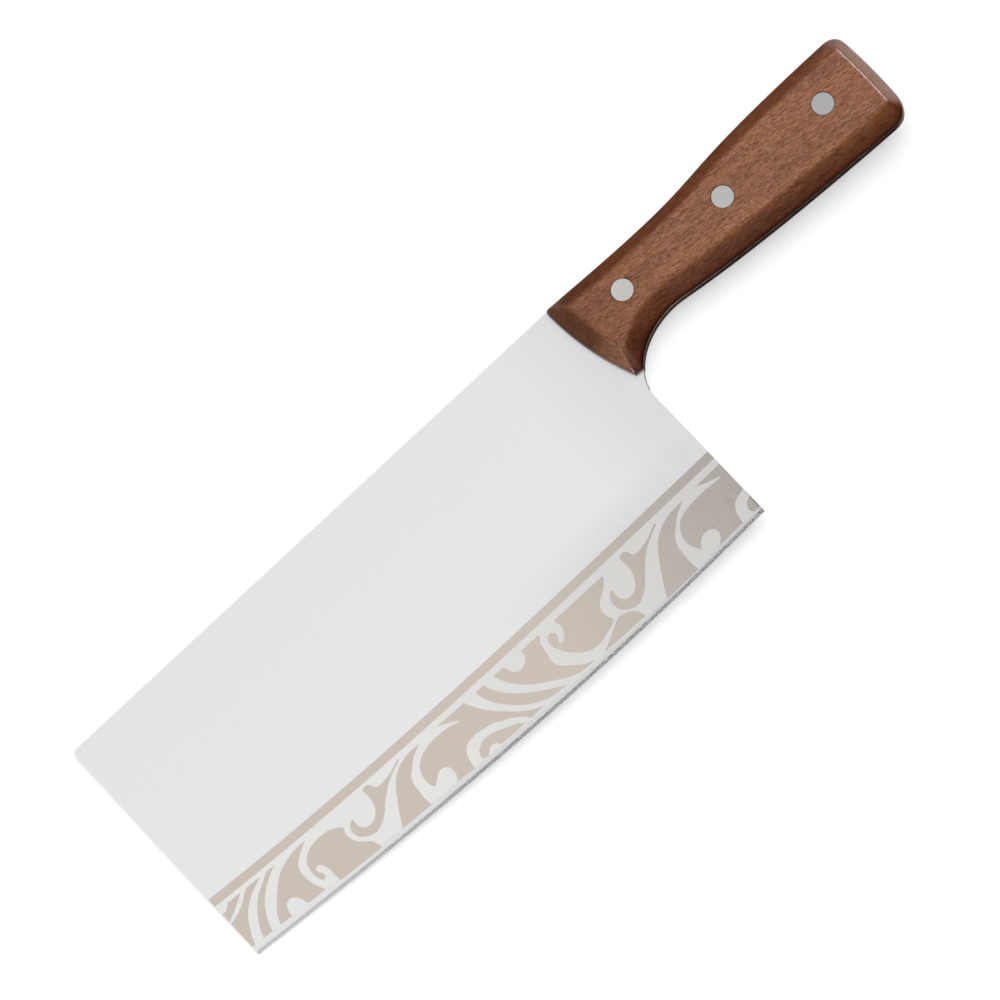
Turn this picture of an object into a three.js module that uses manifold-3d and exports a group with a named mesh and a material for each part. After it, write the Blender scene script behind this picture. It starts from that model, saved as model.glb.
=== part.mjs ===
// Chinese vegetable cleaver: a steel blade with a full tang, two wooden scales and three two-part rivets.
// Millimetres. +X runs from the front end to the butt, +Y towards the spine, +Z out of the front face.
// The shapes are drawn with the spine on y = 0 and the middle of the steel on z = 0, and set on the
// ground at the end: the origin is the middle of the bottom of the whole knife.
import * as THREE from 'three';
import { mergeVertices } from 'three/addons/utils/BufferGeometryUtils.js';
import Module from 'manifold-3d';

const wasm = await Module();
wasm.setup();

// Blade
const bladeLength = 211.7; // upper front corner to the heel
const frontRake = 2.15; // the lower front corner stands this far behind the upper one
const frontHeight = 89; // spine to edge at the front end
const heelHeight = 95.2; // spine to edge at the heel
const edgeBulgeFront = 13; // how strongly the edge bows out near the front
const edgeBulgeHeel = 16; // and near the heel
const spineThickness = 2;
const cornerRadius = 2.5; // upper front corner
const choilDepth = 44; // spine to the top of the straight heel

// Ground faces of the blade
const grindFront = 23.5; // width of the ground face at the front end
const grindHeel = 26.15; // width of the ground face at the heel
const grindBulgeFront = -0.5;
const grindBulgeHeel = 10;
const bevelWidth = 1.1; // the last, steeper bevel along the edge
const bevelThickness = 0.4; // steel left where that bevel starts
const edgeThickness = 0.1; // steel left at the very edge

// Handle outline
const handleLap = 7.15; // the scales start this far ahead of the heel, at the spine
const handleLength = 127.75;
const buttRise = 2.2; // spine of the handle at the butt, above the spine of the blade
const waistSlope = 0.05; // how fast the spine of the handle falls behind the blade
const buttSlope = 0.01; // and how fast it falls again towards the butt
const throatSetback = 24.05; // heel to the hollow where the first finger lies
const throatDepth = 26.6; // spine to that hollow
const buttDepth = 33.6; // spine to the belly of the handle at the butt
const bellySlope = 0.03; // how fast the belly falls towards the butt
const frontSweep = 90.5; // radius of the front of the scales
const buttSweep = 220; // radius of the butt

// Handle corners, measured along each side from where the two sides would meet
const frontCorner = 1.5;
const toeCut = 3.3; // the toe is cut off straight, and the others are rounded
const buttCorner = 5.2; // spine and butt
const bellyCorner = 7.3; // butt and belly
const facetCorner = 0.8; // the same corners on the flat facet

// Scale section
const scaleThickness = 8.1;
const landHeight = 2.2; // upright rim next to the tang
const sideFacet = 5.6; // how far the flat facet is set in from the spine and the belly
const frontFacet = 6.2; // the front facet narrows from the spine to the toe
const toeFacet = 4.3; // its width at the toe
const buttFacet = 4;
const arrisSoftness = 1.1; // how far the two arrises are rounded, along the height
const glueLine = 0.1; // film between scale and tang

// Rivets
const rivetCount = 3;
const rivetPitch = 43;
const firstRivet = 22.2; // front of the scales to the first rivet
const rivetDepth = 13.9; // spine to the rivets
const headDiameter = 7.5;
const headThickness = 2;
const headRim = 0.25; // rounded rim of a head
const headSetback = 0.05; // a head lies this far below the flat facet
const tubeDiameter = 5;
const postDiameter = 3.4;
const rivetClearance = 0.1; // round and under a head, and round a tube
const pressClearance = 0.05; // round a post in its tube
const rivetEndGap = 1; // left at the end of a post and of a tube

// Fineness of the outlines
const edgeSteps = 36;
const curveSamples = 48;
const spineSteps = 16;
const bellySteps = 26;
const frontSteps = 8;
const buttSteps = 5;
const cornerSteps = 4;
const arrisSteps = 2;
const holeSides = 32;
const overrun = 5; // cutting shapes reach this far past what they cut

// Places worked out from the sizes above
const halfSteel = spineThickness / 2;
const handleStart = bladeLength - handleLap;
const buttEnd = handleStart + handleLength;
const throatX = bladeLength + throatSetback;
const seatHeight = halfSteel + glueLine;
const handleHalf = seatHeight + scaleThickness;
const headTop = handleHalf - headSetback;
const headBottom = headTop - headThickness;
const rivetX = Array.from({ length: rivetCount }, (_, i) => handleStart + firstRivet + i * rivetPitch);

const { lerp } = THREE.MathUtils;

// Value along the blade: a straight change from front to heel, bowed out between them
function alongBlade(x, front, heel, bulgeFront, bulgeHeel) {
  const share = (x - frontRake) / (bladeLength - frontRake);
  return lerp(front, heel, share) + share * (1 - share) * lerp(bulgeFront, bulgeHeel, share);
}

function edgeDepth(x) {
  return alongBlade(x, frontHeight, heelHeight, edgeBulgeFront, edgeBulgeHeel);
}

function grindWidth(x) {
  return alongBlade(x, grindFront, grindHeel, grindBulgeFront, grindBulgeHeel);
}

// Spine of the handle, from the blade to the butt
function spineLine() {
  const pullFront = 0.63 * handleLength;
  const pullButt = 0.67 * handleLength;
  return new THREE.CubicBezierCurve(
    new THREE.Vector2(handleStart, 0),
    new THREE.Vector2(handleStart + pullFront, -pullFront * waistSlope),
    new THREE.Vector2(buttEnd - pullButt, buttRise + pullButt * buttSlope),
    new THREE.Vector2(buttEnd, buttRise),
  ).getPoints(curveSamples);
}

// Butt, from the spine to the belly: a shallow arc
function buttLine() {
  const half = (buttRise + buttDepth) / 2;
  const middle = (buttRise - buttDepth) / 2;
  const angle = Math.asin(half / buttSweep);
  return new THREE.EllipseCurve(
    buttEnd - buttSweep, middle, buttSweep, buttSweep, angle, -angle, true,
  ).getPoints(curveSamples);
}

// Belly of the handle from the butt to the throat, then the choil: a quarter of an ellipse down to the heel
function bellyLine() {
  const span = buttEnd - throatX;
  const pullButt = 0.78 * span;
  const belly = new THREE.CubicBezierCurve(
    new THREE.Vector2(buttEnd, -buttDepth),
    new THREE.Vector2(buttEnd - pullButt, -buttDepth + pullButt * bellySlope),
    new THREE.Vector2(throatX + 0.0625 * span, -throatDepth),
    new THREE.Vector2(throatX, -throatDepth),
  ).getPoints(curveSamples);
  const drop = choilDepth - throatDepth;
  const choil = new THREE.EllipseCurve(
    throatX, -choilDepth, throatSetback, drop, Math.PI / 2, Math.PI, false,
  ).getPoints(curveSamples);
  return [...belly, ...choil.slice(1)];
}

// Front of the scales, from the toe up to the spine: an arc that leaves the spine squarely
function frontLine() {
  const angle = Math.asin(choilDepth / frontSweep);
  return new THREE.EllipseCurve(
    handleStart + frontSweep, 0, frontSweep, frontSweep, Math.PI + angle, Math.PI, true,
  ).getPoints(curveSamples);
}

// A line moved to its right by a distance that changes along it, with straight runs added at both ends
function movedIn(points, startDistance, endDistance) {
  const last = points.length - 1;
  const moved = points.map((point, i) => {
    const along = points[Math.min(i + 1, last)].clone().sub(points[Math.max(i - 1, 0)]).normalize();
    const distance = lerp(startDistance, endDistance, i / last);
    return new THREE.Vector2(point.x + along.y * distance, point.y - along.x * distance);
  });
  const before = moved[0].clone().sub(moved[1]).setLength(2 * overrun).add(moved[0]);
  const after = moved[last].clone().sub(moved[last - 1]).setLength(2 * overrun).add(moved[last]);
  return new THREE.Path([before, ...moved, after]);
}

function pointAt(path, distance) {
  return path.getPoint(distance / path.getLength());
}

// Where two lines cross: the point, and how far along each line it lies
function crossing(first, second) {
  let firstRun = 0;
  for (const a of first.curves) {
    const along = a.v2.clone().sub(a.v1);
    let secondRun = 0;
    for (const b of second.curves) {
      const other = b.v2.clone().sub(b.v1);
      const gap = b.v1.clone().sub(a.v1);
      const turn = along.cross(other);
      const s = gap.cross(other) / turn;
      const t = gap.cross(along) / turn;
      if (s >= 0 && s <= 1 && t >= 0 && t <= 1) {
        return { first: firstRun + s * along.length(), second: secondRun + t * other.length() };
      }
      secondRun += other.length();
    }
    firstRun += along.length();
  }
  throw new Error('two sides of the handle do not meet');
}

// The four sides of the handle, clockwise from the front of the spine, with the facet width at both ends of
// each one and the corner after it, which is rounded unless it is cut straight
const handleSides = [
  { line: spineLine(), facet: [sideFacet, sideFacet], steps: spineSteps, corner: buttCorner },
  { line: buttLine(), facet: [buttFacet, buttFacet], steps: buttSteps, corner: bellyCorner },
  { line: bellyLine(), facet: [sideFacet, sideFacet], steps: bellySteps, corner: toeCut, straight: true },
  { line: frontLine(), facet: [toeFacet, frontFacet], steps: frontSteps, corner: frontCorner },
];

// Outline of a scale, set in by a share of the facet widths. Each entry is one side and its end corner.
function handleOutline(share) {
  const paths = handleSides.map(({ line, facet }) => movedIn(line, facet[0] * share, facet[1] * share));
  const cuts = handleSides.map((side) => lerp(side.corner, facetCorner, Math.min(share, 1)));
  const meets = paths.map((path, i) => crossing(path, paths[(i + 1) % paths.length]));
  return handleSides.map((side, i) => {
    const previous = (i + paths.length - 1) % paths.length;
    const next = (i + 1) % paths.length;
    const from = meets[previous].second + cuts[previous];
    const to = meets[i].first - cuts[i];
    const stations = Array.from({ length: side.steps + 1 }, (_, k) => lerp(from, to, k / side.steps));
    const run = stations.map((station) => pointAt(paths[i], station));
    const start = run[side.steps];
    const end = pointAt(paths[next], meets[i].second + cuts[i]);
    const tip = side.straight ? start.clone().lerp(end, 0.5) : pointAt(paths[i], meets[i].first);
    const corner = new THREE.QuadraticBezierCurve(start, tip, end).getPoints(cornerSteps).slice(1, -1);
    return { run, corner };
  });
}

// Section of a scale: height above the seat, and how far in, as a share of the facet width
function scaleSection() {
  const rise = scaleThickness - landHeight;
  const softShare = arrisSoftness / rise;
  const lower = new THREE.QuadraticBezierCurve(
    new THREE.Vector2(0, landHeight - arrisSoftness),
    new THREE.Vector2(0, landHeight),
    new THREE.Vector2(softShare, landHeight + arrisSoftness),
  );
  const upper = new THREE.QuadraticBezierCurve(
    new THREE.Vector2(1 - softShare, scaleThickness - arrisSoftness),
    new THREE.Vector2(1, scaleThickness),
    new THREE.Vector2(1 + softShare, scaleThickness),
  );
  return [new THREE.Vector2(0, 0), ...lower.getPoints(arrisSteps), ...upper.getPoints(arrisSteps)];
}

// A closed geometry as a solid that can be cut
function solid(geometry) {
  const bare = geometry.clone();
  bare.deleteAttribute('normal');
  bare.deleteAttribute('uv');
  const { attributes, index } = mergeVertices(bare);
  return new wasm.Manifold(new wasm.Mesh({
    numProp: 3,
    vertProperties: new Float32Array(attributes.position.array),
    triVerts: new Uint32Array(index.array),
  }));
}

function geometryOf(body) {
  const mesh = body.getMesh();
  const geometry = new THREE.BufferGeometry();
  geometry.setAttribute('position', new THREE.BufferAttribute(mesh.vertProperties, 3));
  geometry.setIndex(new THREE.BufferAttribute(mesh.triVerts, 1));
  geometry.computeVertexNormals();
  return geometry;
}

// A closed skin through rings of equal length that run counter-clockwise seen from the last ring
function loft(rings) {
  const size = rings[0].length;
  const index = [];
  for (let level = 0; level + 1 < rings.length; level += 1) {
    for (let i = 0; i < size; i += 1) {
      const a = level * size + i;
      const b = level * size + ((i + 1) % size);
      index.push(a, b, b + size, a, b + size, a + size);
    }
  }
  const top = (rings.length - 1) * size;
  const flat = (ring) => ring.map((point) => new THREE.Vector2(point.x, point.y));
  for (const [a, b, c] of THREE.ShapeUtils.triangulateShape(flat(rings[0]), [])) {
    index.push(a, c, b);
  }
  for (const [a, b, c] of THREE.ShapeUtils.triangulateShape(flat(rings.at(-1)), [])) {
    index.push(top + a, top + b, top + c);
  }
  const geometry = new THREE.BufferGeometry().setFromPoints(rings.flat());
  geometry.setIndex(index);
  return geometry;
}

// Outline of the steel: front end, spine, tang, choil, heel and edge
function bladeOutline() {
  const [spine, butt, side] = handleOutline(0);
  const cornerEnd = side.run[0];
  const belly = bellyLine().filter((point) => point.x < cornerEnd.x);
  const edge = Array.from({ length: edgeSteps + 1 }, (_, i) => {
    const x = lerp(bladeLength, frontRake, i / edgeSteps);
    return new THREE.Vector2(x, -edgeDepth(x));
  });
  const lowerFront = edge.at(-1);
  const upperFront = new THREE.Vector2(0, 0);
  const corner = new THREE.QuadraticBezierCurve(
    lowerFront.clone().sub(upperFront).setLength(cornerRadius),
    upperFront,
    new THREE.Vector2(cornerRadius, 0),
  );
  return [
    ...corner.getPoints(cornerSteps),
    ...spine.run,
    ...spine.corner,
    ...butt.run,
    ...butt.corner,
    cornerEnd,
    ...belly,
    ...edge,
  ];
}

// What the grinding takes off one face: above the ground face and the bevel, along the whole blade
function grindWaste() {
  const rings = Array.from({ length: edgeSteps + 3 }, (_, i) => {
    const x = lerp(frontRake, bladeLength, (i - 1) / edgeSteps);
    const edge = -edgeDepth(x);
    const bevelTop = new THREE.Vector2(edge + bevelWidth, bevelThickness / 2);
    const grindTop = new THREE.Vector2(edge + grindWidth(x), halfSteel);
    const above = grindTop.clone().lerp(bevelTop, -0.1);
    const section = [
      new THREE.Vector2(above.x, overrun),
      new THREE.Vector2(edge - overrun, overrun),
      new THREE.Vector2(edge - overrun, edgeThickness / 2),
      new THREE.Vector2(edge, edgeThickness / 2),
      bevelTop,
      above,
    ];
    return section.map((point) => new THREE.Vector3(point.x, point.y, x));
  });
  // The sections were drawn as (across, up) at a distance along, and turn to lie across the blade
  return loft(rings).applyMatrix4(new THREE.Matrix4().makeBasis(
    new THREE.Vector3(0, 1, 0), new THREE.Vector3(0, 0, 1), new THREE.Vector3(1, 0, 0),
  ));
}

// A round cutter along Z through one rivet's place
function boreCutter(diameter, bottom, top, x) {
  const cutter = new THREE.CylinderGeometry(diameter / 2, diameter / 2, top - bottom, holeSides);
  cutter.rotateX(Math.PI / 2);
  cutter.translate(x, -rivetDepth, (top + bottom) / 2);
  return solid(cutter);
}

function bladeGeometry() {
  const shape = new THREE.Shape(bladeOutline());
  const plate = new THREE.ExtrudeGeometry(shape, { depth: spineThickness, bevelEnabled: false });
  plate.translate(0, 0, -halfSteel);
  const waste = grindWaste();
  let steel = solid(plate).subtract(solid(waste)).subtract(solid(mirrored(waste)));
  for (const x of rivetX) {
    steel = steel.subtract(boreCutter(tubeDiameter + 2 * rivetClearance, -overrun, overrun, x));
  }
  return geometryOf(steel);
}

// One scale with its bores and counterbores, on the front face. The rear one is the same, mirrored.
function scaleGeometry() {
  const rings = scaleSection().map(({ x: share, y: height }) => {
    const outline = handleOutline(share).flatMap(({ run, corner }) => [...run, ...corner]).reverse();
    return outline.map((point) => new THREE.Vector3(point.x, point.y, seatHeight + height));
  });
  let wood = solid(loft(rings));
  const shaft = tubeDiameter + 2 * rivetClearance;
  const recess = headDiameter + 2 * rivetClearance;
  for (const x of rivetX) {
    wood = wood.subtract(boreCutter(shaft, -overrun, handleHalf, x));
    wood = wood.subtract(boreCutter(recess, headBottom - rivetClearance, handleHalf + overrun, x));
  }
  return geometryOf(wood);
}

function mirrored(geometry) {
  const copy = geometry.clone().scale(1, 1, -1);
  copy.setIndex(new THREE.BufferAttribute(geometry.index.array.slice().reverse(), 1));
  copy.computeVertexNormals();
  return copy;
}

// Outline of a rivet head, from the middle of its face to its underside
function headProfile() {
  const radius = headDiameter / 2;
  const rim = new THREE.QuadraticBezierCurve(
    new THREE.Vector2(radius - headRim, headTop),
    new THREE.Vector2(radius, headTop),
    new THREE.Vector2(radius, headTop - headRim),
  ).getPoints(arrisSteps);
  return [new THREE.Vector2(0, headTop), ...rim, new THREE.Vector2(radius, headBottom)];
}

// A turned piece whose outline runs from the top of its axis to the bottom, seen from above
function turned(profile) {
  const geometry = new THREE.LatheGeometry(profile.toReversed(), holeSides);
  return mergeVertices(geometry.deleteAttribute('normal').deleteAttribute('uv').rotateX(Math.PI / 2));
}

function postGeometry() {
  const radius = postDiameter / 2;
  const end = -headBottom + rivetEndGap;
  return turned([
    ...headProfile(),
    new THREE.Vector2(radius, headBottom),
    new THREE.Vector2(radius, end),
    new THREE.Vector2(0, end),
  ]);
}

function tubeGeometry() {
  const outer = tubeDiameter / 2;
  const inner = postDiameter / 2 + pressClearance;
  const end = -headBottom + rivetEndGap;
  return turned([
    ...headProfile(),
    new THREE.Vector2(outer, headBottom),
    new THREE.Vector2(outer, end),
    new THREE.Vector2(inner, end),
    new THREE.Vector2(inner, headBottom),
    new THREE.Vector2(0, headBottom),
  ]);
}

const steelLook = new THREE.MeshStandardMaterial({ color: 0xe3e3e3, roughness: 0.35, metalness: 1 });
const woodLook = new THREE.MeshStandardMaterial({ color: 0x7a4a32, roughness: 0.45, metalness: 0 });
const rivetLook = new THREE.MeshStandardMaterial({ color: 0xc8cacc, roughness: 0.4, metalness: 1 });

function named(name, geometry, look) {
  const mesh = new THREE.Mesh(geometry, look.clone());
  mesh.name = name;
  return mesh;
}

const knife = new THREE.Group();
knife.add(named('blade', bladeGeometry(), steelLook));
const frontScale = scaleGeometry();
knife.add(named('front_scale', frontScale, woodLook));
knife.add(named('rear_scale', mirrored(frontScale), woodLook));

// A post comes in from the front face and its tube from the rear face
rivetX.forEach((x, i) => {
  const post = named(`rivet_${i + 1}_post`, postGeometry(), rivetLook);
  const tube = named(`rivet_${i + 1}_tube`, tubeGeometry(), rivetLook);
  post.position.set(x, -rivetDepth, 0);
  tube.position.set(x, -rivetDepth, 0);
  tube.rotation.x = Math.PI;
  knife.add(post, tube);
});

// The origin goes to the middle of the bottom of the knife
const reach = new THREE.Box3().setFromObject(knife);
const middle = reach.getCenter(new THREE.Vector3());
knife.position.set(-middle.x, -middle.y, -reach.min.z);

export default knife;
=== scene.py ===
# Chinese vegetable cleaver lying on a pale floor.
# Shapes are drawn in millimetres with the spine on y = 0 and the middle of the steel on z = 0,
# then moved on to the frame, which is in metres.
import math

import bpy
from mathutils import Matrix, Vector
from mathutils.geometry import delaunay_2d_cdt


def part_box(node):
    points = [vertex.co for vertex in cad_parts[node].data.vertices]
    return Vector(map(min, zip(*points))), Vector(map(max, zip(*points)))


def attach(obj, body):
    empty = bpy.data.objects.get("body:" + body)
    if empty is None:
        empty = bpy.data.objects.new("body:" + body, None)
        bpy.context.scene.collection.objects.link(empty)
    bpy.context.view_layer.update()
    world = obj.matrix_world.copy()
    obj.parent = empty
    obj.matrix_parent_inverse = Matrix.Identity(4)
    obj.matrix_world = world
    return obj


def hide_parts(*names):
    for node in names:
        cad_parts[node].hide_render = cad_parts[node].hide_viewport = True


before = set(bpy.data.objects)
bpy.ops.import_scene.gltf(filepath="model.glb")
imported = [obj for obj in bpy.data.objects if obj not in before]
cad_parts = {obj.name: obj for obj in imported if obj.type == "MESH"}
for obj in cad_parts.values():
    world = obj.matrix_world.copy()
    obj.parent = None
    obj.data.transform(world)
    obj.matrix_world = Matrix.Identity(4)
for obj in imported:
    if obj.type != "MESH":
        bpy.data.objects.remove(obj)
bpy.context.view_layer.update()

MM = 0.001

# Blade
BLADE_LENGTH = 211.7
FRONT_RAKE = 2.15  # the lower front corner stands this far behind the upper one
FRONT_HEIGHT = 89
HEEL_HEIGHT = 95.2
EDGE_BULGE = (13, 16)  # near the front, near the heel
CORNER_RADIUS = 2.5
CHOIL_DEPTH = 44
HALF_STEEL = 1
CHAMFER = 0.06  # broken corners of the steel sheet
CHOIL_CHAMFER = 0.3  # eased where the first finger lies

# Ground faces of the blade
GRIND_FRONT = 23.5
GRIND_HEEL = 26.15
GRIND_BULGE = (-0.5, 10)
BEVEL_WIDTH = 1.1
BEVEL_HALF = 0.2
EDGE_HALF = 0.05

# Handle outline
HANDLE_LAP = 7.15
HANDLE_START = BLADE_LENGTH - HANDLE_LAP
HANDLE_LENGTH = 127.75
BUTT_END = HANDLE_START + HANDLE_LENGTH
BUTT_RISE = 2.2
WAIST_SLOPE = 0.05
BUTT_SLOPE = 0.01
THROAT_SETBACK = 24.05
THROAT_X = BLADE_LENGTH + THROAT_SETBACK
THROAT_DEPTH = 26.6
BUTT_DEPTH = 33.6
BELLY_SLOPE = 0.03
FRONT_SWEEP = 90.5
BUTT_SWEEP = 220
SPINE_PULL = (0.63, 0.67)  # share of the length over which the curve keeps the slope of its ends
BELLY_PULL = (0.78, 0.0625)

# Handle corners, and the same corners on the flat facet
FRONT_CORNER = 1.5
TOE_CUT = 3.3
BUTT_CORNER = 5.2
BELLY_CORNER = 7.3
FACET_CORNER = 0.8

# Scale section
SCALE_THICKNESS = 8.1
LAND_HEIGHT = 2.2
SIDE_FACET = 5.6
FRONT_FACET = 6.2
TOE_FACET = 4.3
BUTT_FACET = 4
ARRIS_SOFTNESS = 1.1
GLUE_LINE = 0.1
SEAT = HALF_STEEL + GLUE_LINE
HANDLE_HALF = SEAT + SCALE_THICKNESS

# Rivets
FIRST_RIVET = 22.2
RIVET_PITCH = 43
RIVET_X = [HANDLE_START + FIRST_RIVET + RIVET_PITCH * i for i in range(3)]
RIVET_DEPTH = 13.9
HEAD_RADIUS = 3.75
HEAD_RIM = 0.3
HEAD_SINK = 0.05
HEAD_HEIGHT = 2
HEAD_TOP = HANDLE_HALF - HEAD_SINK
HEAD_BOTTOM = HEAD_TOP - HEAD_HEIGHT
TUBE_RADIUS = 2.5
POST_RADIUS = 1.7
RIVET_CLEARANCE = 0.1
PRESS_CLEARANCE = 0.05
SHANK_CLEARANCE = 1  # between the end of a shank and the other head
SHANK_END = SHANK_CLEARANCE - HEAD_BOTTOM

# Fineness
EDGE_STEPS = 120
CURVE_SAMPLES = 160
CORNER_STEPS = 8
ARRIS_STEPS = 6
ROUND_STEPS = 96
ORNAMENT_STEP = 0.35
OVERRUN = 10
STRAIGHT = 0.1  # a corner whose sine is below this moves as a straight line does

# The knife's own drawing is moved so that its steel covers the frame's
blade_low, blade_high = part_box("blade")
SHIFT = Vector((
    blade_high[0] / MM - BUTT_END,
    blade_high[1] / MM - BUTT_RISE,
    (blade_low[2] + blade_high[2]) / 2 / MM,
))


def placed(x, y, z):
    return (Vector((x, y, z)) + SHIFT) * MM


# Lines of the blade and the handle

def mix(a, b, share):
    return a + (b - a) * share


def along_blade(x, front, heel, bulge):
    share = (x - FRONT_RAKE) / (BLADE_LENGTH - FRONT_RAKE)
    return mix(front, heel, share) + share * (1 - share) * mix(*bulge, share)


def edge_depth(x):
    return along_blade(x, FRONT_HEIGHT, HEEL_HEIGHT, EDGE_BULGE)


def grind_depth(x):
    return edge_depth(x) - along_blade(x, GRIND_FRONT, GRIND_HEEL, GRIND_BULGE)


def bezier(points, steps):
    """Points on a curve with two, three or four control points."""
    run = []
    for step in range(steps + 1):
        layer = [Vector(point) for point in points]
        while len(layer) > 1:
            layer = [a.lerp(b, step / steps) for a, b in zip(layer, layer[1:])]
        run.append(layer[0])
    return run


def ellipse(centre, radii, start, end, steps):
    run = []
    for step in range(steps + 1):
        angle = mix(start, end, step / steps)
        x = centre[0] + radii[0] * math.cos(angle)
        y = centre[1] + radii[1] * math.sin(angle)
        run.append(Vector((x, y)))
    return run


def spine_line():
    pull_front, pull_butt = (share * HANDLE_LENGTH for share in SPINE_PULL)
    return bezier([
        (HANDLE_START, 0),
        (HANDLE_START + pull_front, -pull_front * WAIST_SLOPE),
        (BUTT_END - pull_butt, BUTT_RISE + pull_butt * BUTT_SLOPE),
        (BUTT_END, BUTT_RISE),
    ], CURVE_SAMPLES)


def butt_line():
    half = (BUTT_RISE + BUTT_DEPTH) / 2
    centre = (BUTT_END - BUTT_SWEEP, (BUTT_RISE - BUTT_DEPTH) / 2)
    angle = math.asin(half / BUTT_SWEEP)
    return ellipse(centre, (BUTT_SWEEP, BUTT_SWEEP), angle, -angle, CURVE_SAMPLES)


def belly_line():
    """Belly of the handle from the butt to the throat, then the choil down to the heel."""
    span = BUTT_END - THROAT_X
    pull_butt, pull_throat = (share * span for share in BELLY_PULL)
    belly = bezier([
        (BUTT_END, -BUTT_DEPTH),
        (BUTT_END - pull_butt, -BUTT_DEPTH + pull_butt * BELLY_SLOPE),
        (THROAT_X + pull_throat, -THROAT_DEPTH),
        (THROAT_X, -THROAT_DEPTH),
    ], CURVE_SAMPLES)
    radii = (THROAT_SETBACK, CHOIL_DEPTH - THROAT_DEPTH)
    choil = ellipse((THROAT_X, -CHOIL_DEPTH), radii, math.pi / 2, math.pi, CURVE_SAMPLES)
    return belly + choil[1:]


def front_line():
    angle = math.asin(CHOIL_DEPTH / FRONT_SWEEP)
    centre = (HANDLE_START + FRONT_SWEEP, 0)
    return ellipse(centre, (FRONT_SWEEP, FRONT_SWEEP), math.pi + angle, math.pi, CURVE_SAMPLES)


# The sides of the handle, clockwise from the front of the spine: the line, the facet width at both
# ends of it, the number of steps and the corner after it. The corners are rounded, except the toe,
# which is cut straight.
HANDLE_SIDES = [
    (spine_line(), (SIDE_FACET, SIDE_FACET), 70, BUTT_CORNER),
    (butt_line(), (BUTT_FACET, BUTT_FACET), 24, BELLY_CORNER),
    (belly_line(), (SIDE_FACET, SIDE_FACET), 110, TOE_CUT),
    (front_line(), (TOE_FACET, FRONT_FACET), 36, FRONT_CORNER),
]
TOE = 2  # the side that ends in the straight cut


def moved_in(points, start, end):
    """A line moved to its right by a distance that changes along it, with straight runs at both ends."""
    last = len(points) - 1
    moved = []
    for i, point in enumerate(points):
        along = (points[min(i + 1, last)] - points[max(i - 1, 0)]).normalized()
        moved.append(point + mix(start, end, i / last) * Vector((along.y, -along.x)))
    before = moved[0] + OVERRUN * (moved[0] - moved[1]).normalized()
    after = moved[last] + OVERRUN * (moved[last] - moved[last - 1]).normalized()
    return [before, *moved, after]


def cross(a, b):
    return a.x * b.y - a.y * b.x


def crossing(first, second):
    """How far along each of two lines their crossing lies."""
    first_run = 0
    for a, b in zip(first, first[1:]):
        along = b - a
        second_run = 0
        for c, d in zip(second, second[1:]):
            other = d - c
            turn = cross(along, other)
            if turn:
                s = cross(c - a, other) / turn
                t = cross(c - a, along) / turn
                if 0 <= s <= 1 and 0 <= t <= 1:
                    return first_run + s * along.length, second_run + t * other.length
            second_run += other.length
        first_run += along.length
    raise ValueError("two sides of the handle do not meet")


def point_at(line, distance):
    for a, b in zip(line, line[1:]):
        step = (b - a).length
        if distance <= step:
            return a.lerp(b, distance / step)
        distance -= step
    return line[-1]


def handle_outline(share):
    """Sides of a scale, set in by a share of the facet widths: (run, corner) for each side."""
    lines = [moved_in(line, start * share, end * share) for line, (start, end), _, _ in HANDLE_SIDES]
    cuts = [mix(corner, FACET_CORNER, min(share, 1)) for _, _, _, corner in HANDLE_SIDES]
    count = len(lines)
    meets = [crossing(lines[i], lines[(i + 1) % count]) for i in range(count)]
    sides = []
    for i, (_, _, steps, _) in enumerate(HANDLE_SIDES):
        start = meets[i - 1][1] + cuts[i - 1]
        end = meets[i][0] - cuts[i]
        run = [point_at(lines[i], mix(start, end, k / steps)) for k in range(steps + 1)]
        after = point_at(lines[(i + 1) % count], meets[i][1] + cuts[i])
        tip = run[-1].lerp(after, 0.5) if i == TOE else point_at(lines[i], meets[i][0])
        sides.append((run, bezier([run[-1], tip, after], CORNER_STEPS)[1:-1]))
    return sides


def circle(x, y, radius):
    return ellipse((x, y), (radius, radius), 0, 2 * math.pi, ROUND_STEPS)[:-1]


# Meshes

def mesh_piece(name, points, faces, zones=None, materials=(), slots=None, sharp=32):
    """A mesh object from points in the knife's own drawing. Edges between two zones are kept sharp,
    and so are those that turn by more than a number of degrees."""
    mesh = bpy.data.meshes.new(name)
    mesh.from_pydata([placed(*point) for point in points], [], faces)
    mesh.validate()
    mesh.shade_smooth()
    mesh.set_sharp_from_angle(angle=math.radians(sharp))
    for material in materials:
        mesh.materials.append(material)
    if slots:
        mesh.polygons.foreach_set("material_index", slots)
    if zones:
        sides = {}
        for polygon in mesh.polygons:
            for key in polygon.edge_keys:
                sides.setdefault(key, set()).add(zones[polygon.index])
        for edge in mesh.edges:
            if len(sides[edge.key]) > 1:
                edge.use_edge_sharp = True
    piece = bpy.data.objects.new(name, mesh)
    bpy.context.scene.collection.objects.link(piece)
    return piece


def counter_clockwise(loops):
    """Points of several loops, and each loop as indices that run counter-clockwise."""
    points, faces = [], []
    for loop in loops:
        index = list(range(len(points), len(points) + len(loop)))
        area = sum(cross(a, b) for a, b in zip(loop, loop[1:] + loop[:1]))
        faces.append(index if area > 0 else index[::-1])
        points += loop
    return points, faces


def cap(loop, holes):
    """Triangles that fill a loop around round holes, as indices into the loop and then the holes."""
    points, faces = counter_clockwise([loop, *holes])
    _, _, triangles, origins, _, owners = delaunay_2d_cdt(points, [], faces, 1, 1e-6)
    return [
        [origins[corner][0] for corner in triangle]
        for triangle, owner in zip(triangles, owners)
        if 0 in owner and len(owner) == 1
    ]


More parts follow.
